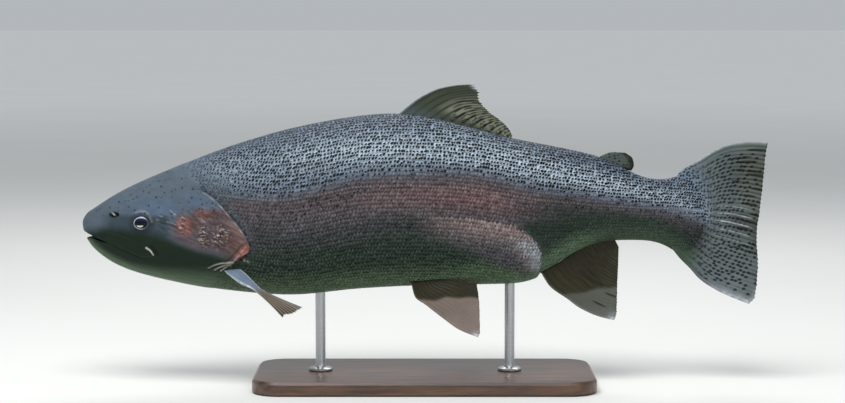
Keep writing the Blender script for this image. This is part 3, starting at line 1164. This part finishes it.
class Painter:
    """A node material, written as a formula."""

    def __init__(self, name, roughness=0.5, **constants):
        self.material = bpy.data.materials.new(name)
        self.material.use_nodes = True
        self.tree = self.material.node_tree
        self.shader = self.tree.nodes["Principled BSDF"]
        for socket, value in {"Roughness": roughness, **constants}.items():
            self.shader.inputs[socket.replace("_", " ")].default_value = value

    def plug(self, socket, value):
        if isinstance(value, bpy.types.NodeSocket):
            self.tree.links.new(value, socket)
        else:
            socket.default_value = value

    def node(self, kind, values=(), **settings):
        node = self.tree.nodes.new(kind)
        for key, value in settings.items():
            setattr(node, key, value)
        for socket, value in dict(values).items():
            self.plug(node.inputs[socket], value)
        return node

    def math(self, operation, first, second=0.0):
        return self.node("ShaderNodeMath", {0: first, 1: second}, operation=operation).outputs[0]

    def add(self, first, *others):
        for other in others:
            first = self.math("ADD", first, other)
        return first

    def times(self, first, *others):
        for other in others:
            first = self.math("MULTIPLY", first, other)
        return first

    def between(self, low, high, value):
        """From low to high as the value goes from 0 to 1."""
        return self.add(low, self.times(value, high - low))

    def rest(self, share):
        return self.math("SUBTRACT", 1.0, share)

    def mix(self, share, below, above, blend="MIX"):
        node = self.node("ShaderNodeMix", {0: share, 6: below, 7: above}, data_type="RGBA", blend_type=blend)
        return node.outputs[2]

    def layers(self, colour, *layers):
        """A colour with others laid over it in turn, each by its share."""
        for share, over in layers:
            colour = self.mix(share, colour, over)
        return colour

    def ramp(self, value, low, high):
        """From 0 at low to 1 at high. Low may be the greater of the two."""
        node = self.node("ShaderNodeMapRange", {0: value, 1: low, 2: high}, interpolation_type="SMOOTHSTEP")
        return node.outputs[0]

    def shares(self, layer):
        attribute = self.node("ShaderNodeAttribute", attribute_name=layer)
        split = self.node("ShaderNodeSeparateColor", {0: attribute.outputs["Color"]})
        return [*split.outputs, attribute.outputs["Alpha"]]

    def place(self, scale=(1, 1, 1), lean=0.0):
        """A place on the object in metres, leaned about the out axis and then scaled."""
        here = self.node("ShaderNodeTexCoord").outputs["Object"]
        here = self.node("ShaderNodeMapping", {0: here, 2: (0, -lean, 0)}).outputs[0]
        return self.node("ShaderNodeMapping", {0: here, 3: scale}).outputs[0]

    def uv(self, layer, scale=(1, 1, 1)):
        here = self.node("ShaderNodeUVMap", uv_map=layer).outputs[0]
        return self.node("ShaderNodeMapping", {0: here, 3: scale}).outputs[0]

    def axes(self, vector):
        return self.node("ShaderNodeSeparateXYZ", {0: vector}).outputs

    def flat(self, first, second):
        return self.node("ShaderNodeCombineXYZ", {0: first, 1: second}).outputs[0]

    def length(self, vector):
        return self.node("ShaderNodeVectorMath", {0: vector}, operation="LENGTH").outputs["Value"]

    def noise(self, place, scale, detail=3.0, roughness=0.55):
        return self.node("ShaderNodeTexNoise", {0: place, 2: scale, 3: detail, 4: roughness}).outputs[0]

    def dots(self, place, scale, chance=1.0, dimensions="3D"):
        """How far the nearest of many scattered points is, and a random number that belongs to it."""
        values = {0: place, 2: scale, 8: chance}
        node = self.node("ShaderNodeTexVoronoi", values, voronoi_dimensions=dimensions)
        number = self.node("ShaderNodeSeparateColor", {0: node.outputs["Color"]}).outputs[0]
        return node.outputs["Distance"], number

    def side_dots(self, scale, radius, uneven):
        """Dots scattered over the side view."""
        along, _, up = self.axes(self.place())
        away, _ = self.dots(self.flat(along, up), scale, uneven, "2D")
        return self.ramp(away, radius + 0.07, radius - 0.07)

    def ray_dots(self, across, along, radius, spots, gap=0.0, uneven=0.5):
        """Dots in rows along a fin, of which the share `spots` is there.

        There are `across` rows for each ray, and a row lies `gap` of a row's width past the ray.
        """
        past, out, _ = self.axes(self.uv("ray", (across, along, 1.0)))
        row = self.add(past, uneven / 2 - gap)
        away, number = self.dots(self.flat(row, self.add(out, self.times(row, 0.41))), 1.0, uneven, "2D")
        there = self.ramp(self.add(spots, self.times(number, -0.9)), 0.0, 0.08)
        return self.times(self.ramp(away, radius + 0.08, radius - 0.08), there)

    def shade(self, colour, value, low, high):
        """The colour made darker and lighter as the value goes from 0 to 1."""
        tone = self.between(low, high, value)
        grey = self.node("ShaderNodeCombineColor", {0: tone, 1: tone, 2: tone}).outputs[0]
        return self.mix(1.0, colour, grey, blend="MULTIPLY")

    def wave(self, value, pace):
        return self.math("SINE", self.times(value, pace))

    def bump(self, height, strength, distance):
        values = {"Height": height, "Strength": strength, "Distance": distance}
        return self.node("ShaderNodeBump", values).outputs[0]

    def finish(self, colour, roughness=None, normal=None):
        self.plug(self.shader.inputs["Base Color"], colour)
        if roughness is not None:
            self.plug(self.shader.inputs["Roughness"], roughness)
        if normal is not None:
            self.plug(self.shader.inputs["Normal"], normal)
        return self.material


BACK = srgb(107, 121, 138)
NAPE = srgb(76, 87, 97)
PALE_SIDE = srgb(174, 189, 202)
TOP = srgb(96, 110, 126)
FLANK = srgb(70, 69, 73)
BAND = srgb(104, 79, 80)
DUSK = srgb(39, 45, 43)
BELLY = srgb(39, 51, 43)
BELLY_EDGE = srgb(88, 108, 84)
LIT = srgb(119, 105, 103)
REAR_RIM = srgb(134, 139, 144)
FACE_LOW = srgb(23, 36, 26)
FACE_MIDDLE = srgb(55, 66, 74)
FACE_BLUE = srgb(80, 96, 118)
CHEEK = srgb(78, 73, 80)
CHEEK_BROWN = srgb(80, 63, 61)
ORANGE = srgb(152, 94, 80)
MEMBRANE = srgb(140, 80, 66)
GILL_RIM = srgb(122, 98, 90)
DARK = srgb(14, 17, 19)
SILVER = srgb(210, 206, 200)
PINK_GLINT = srgb(222, 190, 184)
LOW_GLOSS = {"Specular_IOR_Level": 0.14, "IOR": 1.42}


def fish_colour(paint):
    """The colours of the body, laid over one another by their marks: (colour, mottle, marks by name)."""
    pale, flank, band, belly = paint.shares("marks_side")
    dusk, edge, lit, rear_rim = paint.shares("marks_low")
    cheek, orange, membrane, head = paint.shares("marks_face")
    low, middle, blue, gill_rim = paint.shares("marks_head")
    top, dark, silver, spots = paint.shares("marks_fine")
    cloud = paint.noise(paint.place((1, 1, 1.7)), 30, 4)
    mottle = paint.ramp(paint.noise(paint.place((0.6, 1, 1.4)), 150, 4, 0.65), 0.36, 0.64)

    colour = paint.layers(
        BACK,
        (head, NAPE),
        (pale, PALE_SIDE),
        (paint.times(top, 0.7), TOP),
        (flank, FLANK),
        (paint.times(band, paint.between(0.7, 1.0, paint.ramp(cloud, 0.34, 0.66))), BAND),
        (paint.times(dusk, 0.85), DUSK),
        (belly, paint.mix(edge, BELLY, BELLY_EDGE)),
        (lit, LIT),
        (rear_rim, REAR_RIM),
        (paint.times(blue, 0.8), FACE_BLUE),
        (middle, FACE_MIDDLE),
        (low, paint.mix(paint.times(edge, 0.7), FACE_LOW, BELLY_EDGE)),
        (paint.times(cheek, 0.95), paint.mix(mottle, CHEEK_BROWN, CHEEK)),
        (paint.times(orange, paint.between(0.65, 1.0, mottle)), ORANGE),
        (paint.times(gill_rim, 0.6), GILL_RIM),
        (membrane, paint.mix(mottle, CHEEK_BROWN, MEMBRANE)))
    colour = paint.shade(colour, cloud, 0.86, 1.16)
    colour = paint.mix(silver, colour, paint.mix(paint.times(cheek, 0.8), SILVER, PINK_GLINT))
    return colour, mottle, {"dark": dark, "spots": spots, "head": head, "belly": belly}


def skin_material():
    """Smooth skin, streaked and wrinkled on the cheek, with small dark specks over the top of the head."""
    paint = Painter("trout_skin", 0.38, **LOW_GLOSS)
    colour, mottle, marks = fish_colour(paint)
    streaked, wrinkled, brown, _ = paint.shares("marks_grain")
    colour = paint.shade(colour, mottle, 0.93, 1.07)
    colour = paint.mix(paint.times(brown, streaked, 0.6), colour, CHEEK_BROWN)
    streaks = paint.ramp(paint.noise(paint.place((0.2, 1, 1), math.radians(26)), 330, 4, 0.6), 0.36, 0.64)
    crumbs = paint.noise(paint.place((0.6, 1, 1), math.radians(28)), 620, 2)
    near, number = paint.dots(paint.place(), 185)
    upper = paint.ramp(paint.axes(paint.place())[2], (SNOUT_LEVEL + 5) * MM, (SNOUT_LEVEL + 14) * MM)
    speck = paint.times(paint.ramp(near, 0.3, 0.15), marks["head"], upper, paint.between(0.3, 0.8, number))
    colour = paint.layers(
        colour,
        (paint.times(streaked, 0.55), paint.shade(colour, streaks, 0.5, 1.5)),
        (paint.times(wrinkled, paint.ramp(crumbs, 0.6, 0.52), 0.6), DARK),
        (paint.times(wrinkled, paint.ramp(crumbs, 0.55, 0.68), 0.6), PINK_GLINT),
        (speck, DARK),
        (marks["dark"], DARK))
    fine = paint.noise(paint.place(), 900, 2)
    soft = paint.noise(paint.place((0.7, 1, 1.3)), 190, 4)
    height = paint.add(paint.times(fine, 0.35), soft, paint.times(streaks, streaked, 0.6))
    return paint.finish(colour, paint.between(0.3, 0.46, soft), paint.bump(height, 0.45, 0.0005))


def scale_material():
    """Each scale has a pale free edge, faint growth rings and, on the upper side, one dark spot."""
    paint = Painter("trout_scales", 0.36, **LOW_GLOSS)
    colour, _, marks = fish_colour(paint)
    spots = marks["spots"]
    first, _, third, lateral = paint.shares("chance")
    along, across, _ = paint.axes(paint.uv("scale"))
    colour = paint.shade(colour, first, 0.86, 1.17)

    from_root = paint.length(paint.flat(paint.add(along, 0.5), paint.times(across, 0.7)))
    edge = paint.times(paint.ramp(from_root, 1.0, 1.2), paint.ramp(spots, 0.4, 0.8))
    rear_line = paint.add(along, -0.5, paint.times(across, -0.5))
    rear_point = paint.length(paint.flat(rear_line, paint.times(across, 0.5)))
    plain = paint.times(paint.ramp(spots, 0.6, 0.1), paint.between(1.0, 0.1, marks["belly"]))
    bright = paint.times(third, third, third, third, 0.1)
    colour = paint.layers(
        colour,
        (paint.times(edge, 0.14), SILVER),
        (paint.times(paint.ramp(rear_point, 0.28, 0.06), bright, plain), SILVER))
    weave = paint.ramp(paint.noise(paint.place((0.5, 1, 1), math.radians(-74)), 420, 3, 0.6), 0.36, 0.64)
    colour = paint.mix(plain, colour, paint.shade(colour, weave, 0.7, 1.28))

    dot = paint.times(scale_dot(paint, along, across, marks), paint.between(1.0, 0.4, lateral))
    pore = paint.ramp(paint.length(paint.flat(paint.add(along, -0.3), across)), 0.3, 0.12)
    pore = paint.times(pore, lateral, 0.09)
    colour = paint.layers(colour, (dot, DARK), (pore, SILVER), (marks["dark"], DARK))
    height = paint.add(paint.times(paint.wave(from_root, 42.0), 0.2), paint.noise(paint.place(), 700, 2))
    return paint.finish(colour, None, paint.bump(height, 0.25, 0.0002))


def scale_dot(paint, along, across, marks):
    """A dot in the part of a scale that shows. It leans with the rows and differs a little on every scale."""
    first, second, third, _ = paint.shares("chance")
    lean = paint.add(along, paint.times(across, -0.3), -0.24, paint.between(-0.12, 0.12, second))
    aside = paint.add(across, -0.04, paint.between(-0.12, 0.12, third))
    away = paint.length(paint.flat(lean, paint.times(aside, paint.between(1.0, 1.35, third))))
    size = paint.times(paint.between(0.3, 0.5, first), paint.between(1.0, 0.6, marks["head"]),
                       paint.between(0.76, 1.0, paint.ramp(marks["spots"], 0.3, 0.6)))
    wanted = paint.ramp(paint.add(marks["spots"], paint.times(second, -0.85)), 0.0, 0.1)
    return paint.times(paint.ramp(paint.math("SUBTRACT", away, size), 0.06, -0.06), wanted)


FIN_DARK = srgb(22, 24, 20)
FIN_WHITE = srgb(196, 200, 206)
AMBER = srgb(92, 80, 46)
RAY_LIGHT = srgb(150, 154, 134)
FIN_COLOURS = {                   # membrane, rays, pale parts, and the share of amber in the dark parts
    "fin_back": (srgb(56, 64, 52), srgb(86, 92, 74), srgb(82, 96, 110), 0.0),
    "fin_tail": (srgb(70, 79, 77), srgb(102, 112, 116), srgb(112, 119, 127), 0.0),
    "fin_vent": (srgb(56, 58, 44), srgb(84, 78, 54), srgb(94, 99, 98), 0.3),
    "fin_low": (srgb(60, 58, 44), srgb(92, 82, 56), srgb(123, 110, 104), 0.2),
    "fin_breast": (srgb(70, 58, 50), srgb(152, 140, 124), srgb(110, 125, 144), 0.0),
}


def fin_material(name):
    """Rays over a thin membrane, with dark spots and streaks lying between the rays."""
    membrane, ray_colour, pale_colour, amber = FIN_COLOURS[name]
    paint = Painter(name, 0.42, **LOW_GLOSS)
    ray, pale, shade, spots = paint.shares("marks_fin")
    streaks, white, root, forked = paint.shares("marks_fin_edge")
    cloud = paint.noise(paint.place(), 70, 4)
    grain = paint.noise(paint.uv("ray", (8.0, 1.6, 1.0)), 2.0, 3)
    worn = paint.ramp(paint.noise(paint.uv("ray", (1.2, 9.0, 1.0)), 1.6, 3), 0.3, 0.66)
    pale_ray = paint.mix(0.35, pale_colour, FIN_DARK)
    single = paint.ray_dots(1.0, 20.0, 0.3, spots, gap=0.5)
    double = paint.ray_dots(2.0, 17.0, 0.33, spots)
    dot = paint.add(paint.times(double, forked), paint.times(single, paint.rest(forked)))
    streak = paint.times(paint.ray_dots(2.0, 3.6, 0.37, streaks, uneven=0.6), paint.between(1.0, 0.55, ray))
    colour = paint.layers(
        membrane,
        (paint.times(ray, 0.75), ray_colour),
        (pale, paint.mix(paint.times(ray, 0.55), pale_colour, pale_ray)),
        (paint.times(shade, 0.86), FIN_DARK),
        (paint.times(shade, paint.ramp(grain, 0.46, 0.64), amber), AMBER),
        (paint.times(streaks, ray, 0.5), RAY_LIGHT),
        (paint.times(dot, 0.9), DARK),
        (paint.times(streak, 0.95), DARK),
        (paint.times(white, paint.between(0.35, 1.0, worn)), FIN_WHITE))
    colour = paint.shade(colour, cloud, 0.8, 1.2)
    if name == "fin_tail":
        colour = paint.mix(root, colour, tail_root_colour(paint))
    joints = paint.wave(paint.axes(paint.uv("ray"))[1], 260.0)
    height = paint.add(paint.times(joints, ray, 0.25), cloud)
    return paint.finish(colour, None, paint.bump(height, 0.3, 0.0004))


def tail_root_colour(paint):
    """The tail fin starts with the body's own colours and spots, because its root is scaled."""
    body, _, marks = fish_colour(paint)
    dot = paint.times(paint.side_dots(315, 0.34, 0.6), paint.ramp(marks["spots"], 0.05, 0.4))
    return paint.mix(paint.times(dot, 0.95), body, DARK)


def eye_material():
    """A silvery iris round a large dark pupil, with a pale glint low in it, all under a clear coat."""
    paint = Painter("trout_eye", 0.2, Coat_Weight=0.12, Coat_Roughness=0.04, Specular_IOR_Level=0.2, IOR=1.4)
    pupil, opening, round_share, glint = paint.shares("marks_eye")
    fibres = paint.noise(paint.flat(paint.times(round_share, 30.0), paint.times(opening, 3.0)), 1.0, 4)
    iris = paint.layers(
        srgb(128, 142, 164),
        (paint.ramp(fibres, 0.35, 0.7), srgb(190, 200, 210)),
        (paint.times(paint.ramp(pupil, 1.16, 1.02), 0.6), srgb(96, 106, 112)),
        (paint.ramp(opening, 0.95, 1.03), srgb(24, 30, 38)))
    height = paint.times(paint.wave(round_share, 2 * math.pi), pupil)
    depths = paint.mix(paint.ramp(height, 0.1, 0.75), srgb(5, 7, 12), srgb(20, 34, 60))
    return paint.finish(paint.layers(
        iris, (paint.ramp(pupil, 1.05, 0.97), depths), (paint.times(glint, 0.9), srgb(214, 218, 214))))


def wood_material():
    """Dark stained wood, its grain running along the base."""
    paint = Painter("stained_wood", 0.4, Coat_Weight=0.35, Coat_Roughness=0.18)
    grain = paint.noise(paint.place((1.4, 16, 16)), 9, 6, 0.6)
    pores = paint.noise(paint.place((5, 160, 160)), 7, 2)
    colour = paint.mix(paint.ramp(grain, 0.32, 0.68), srgb(52, 34, 24), srgb(96, 66, 46))
    colour = paint.mix(paint.times(paint.ramp(pores, 0.56, 0.7), 0.5), colour, srgb(30, 19, 13))
    height = paint.add(pores, grain)
    return paint.finish(colour, paint.between(0.34, 0.5, pores), paint.bump(height, 0.2, 0.0003))


def steel_material():
    """Steel brushed round the rod."""
    paint = Painter("brushed_steel", 0.3, Metallic=1.0)
    brushing = paint.noise(paint.place((1, 1, 40)), 60, 3)
    colour = paint.mix(brushing, srgb(150, 152, 154), srgb(196, 198, 200))
    return paint.finish(colour, paint.between(0.24, 0.42, brushing), paint.bump(brushing, 0.12, 0.0002))


# ---- stand ----

ROD_RADIUS = 5
ROD_SIDES = 48
ROD_SUNK = 0.3                    # the turned rod starts this far under its solid's foot
FLANGE_PROFILE = [(0.0, 0.0), (11.0, 0.0), (12.0, 0.8), (12.0, 2.2), (10.8, 3.2), (6.2, 4.2), (5.3, 6.0)]


def build_rod(name, material):
    """A turned rod with a small foot flange. It ends under the belly scales."""
    low, high = np.array(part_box(name)) / MM
    centre = (low + high) / 2
    top = high[2] - low[2]
    profile = [*FLANGE_PROFILE, (ROD_RADIUS, 8.0), (ROD_RADIUS, top - 0.4),
               (ROD_RADIUS - 0.5, top), (0.0, top)]
    radii, heights = np.array(profile).T
    turn = 2 * math.pi * np.arange(ROD_SIDES) / ROD_SIDES
    along = radii[:, None] * np.cos(turn) + centre[0] + TOTAL_LENGTH / 2
    out = radii[:, None] * np.sin(turn) + centre[1]
    above = heights[:, None] + 0 * turn + low[2] - SNOUT_LEVEL - ROD_SUNK
    points = np.stack([along, above, out], axis=-1).reshape(-1, 3)
    piece = make_piece(f"{name}_turned", points, closed_faces(len(profile), ROD_SIDES, flip=True),
                       material)
    piece.data.set_sharp_from_angle(angle=math.radians(35))
    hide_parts(name)


# ---- stage ----

LAMPS = {                         # place and size in metres, and power in watts
    "key": ((-0.35, -0.95, 1.9), (1.5, 0.9), 44),
    "fill": ((1.2, -2.4, 0.8), (1.4, 1.4), 5),
    "back": ((0.2, 1.3, 1.6), (1.8, 0.5), 14),
}
LAMPS_AIM = (0, 0, 0.18)
SKY = (0.9, 0.95, 1.0, 1)
CAMERA_AIM = (-2, 0, 184.5)
CAMERA_AWAY = 2100
CAMERA_ABOVE = math.radians(5)
VIEW_WIDTH = 845                  # millimetres seen across at the fish
FLOOR_REACH = 60.0                # metres each way, so that its edge is lost in the distance
FAR_GLOW = 0.16                   # makes up for the light that the lamps don't bring to the far floor


def build_floor():
    """A wide pale floor, flat so that it hides nothing from any side. It glows a little far away."""
    paint = Painter("floor", 0.75, Emission_Color=(0.95, 0.98, 1.0, 1))
    far = paint.ramp(paint.length(paint.place()), 0.8, 8.0)
    paint.plug(paint.shader.inputs["Emission Strength"], paint.times(far, FAR_GLOW))
    colour = paint.mix(paint.noise(paint.place(), 2.0, 3), srgb(214, 214, 210), srgb(222, 222, 219))
    mesh = bpy.data.meshes.new("floor")
    corners = [(x * FLOOR_REACH, y * FLOOR_REACH, 0.0) for x, y in ((-1, -1), (1, -1), (1, 1), (-1, 1))]
    mesh.from_pydata(corners, [], [(0, 1, 2, 3)])
    mesh.materials.append(paint.finish(colour))
    add_object("floor", mesh)


def add_lamp(name, place, size, power):
    """A soft lamp that looks at the fish."""
    light = bpy.data.lights.new(name, "AREA")
    light.shape = "RECTANGLE"
    light.size, light.size_y = size
    light.energy = power
    lamp = add_object(name, light)
    lamp.location = place
    lamp.rotation_euler = direction(place, LAMPS_AIM)


def direction(place, aim):
    return (Vector(aim) - Vector(place)).to_track_quat("-Z", "Y").to_euler()


def build_stage():
    build_floor()
    for name, lamp in LAMPS.items():
        add_lamp(name, *lamp)
    world = bpy.data.worlds.new("studio")
    world.use_nodes = True
    sky = world.node_tree.nodes["Background"]
    sky.inputs["Color"].default_value = SKY
    sky.inputs["Strength"].default_value = 0.5
    bpy.context.scene.world = world
    bpy.context.scene.view_settings.view_transform = "Standard"

    camera = bpy.data.cameras.new("camera")
    camera.sensor_width = 36
    camera.lens = camera.sensor_width * CAMERA_AWAY / VIEW_WIDTH
    holder = add_object("camera", camera)
    aim = np.array(CAMERA_AIM) * MM
    away = CAMERA_AWAY * MM
    holder.location = aim + away * np.array([0, -math.cos(CAMERA_ABOVE), math.sin(CAMERA_ABOVE)])
    holder.rotation_euler = direction(holder.location, aim)
    bpy.context.scene.camera = holder


# ---- the whole ----

def build_trout():
    build_skin(skin_material())
    build_scales(scale_material())
    fin_materials = {name: fin_material(name) for name in FIN_COLOURS}
    chosen = {"fin_dorsal": "fin_back", "fin_caudal": "fin_tail", "fin_anal": "fin_vent",
              "fin_pelvic": "fin_low", "fin_pectoral": "fin_breast"}
    for name, fin in FINS.items():
        piece = build_fin(name, f"{name}_rayed", fin, fin_materials[chosen[name]])
        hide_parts(name)
    for name, fin in PAIRED_FINS.items():
        for side_name, side in SIDES.items():
            piece = build_fin(name, f"{name}_rayed_{side_name}", fin, fin_materials[chosen[name]], side)
            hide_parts(f"{name}_{side_name}")
    build_adipose(fin_materials["fin_back"])
    gloss = eye_material()
    for side_name, side in SIDES.items():
        build_eye(side_name, side, gloss)


def build_stand():
    steel = steel_material()
    for name in ("stand_rod_front", "stand_rod_rear"):
        build_rod(name, steel)
    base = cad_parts["stand_base"]
    base.data.materials.clear()
    base.data.materials.append(wood_material())


build_trout()
build_stand()
build_stage()
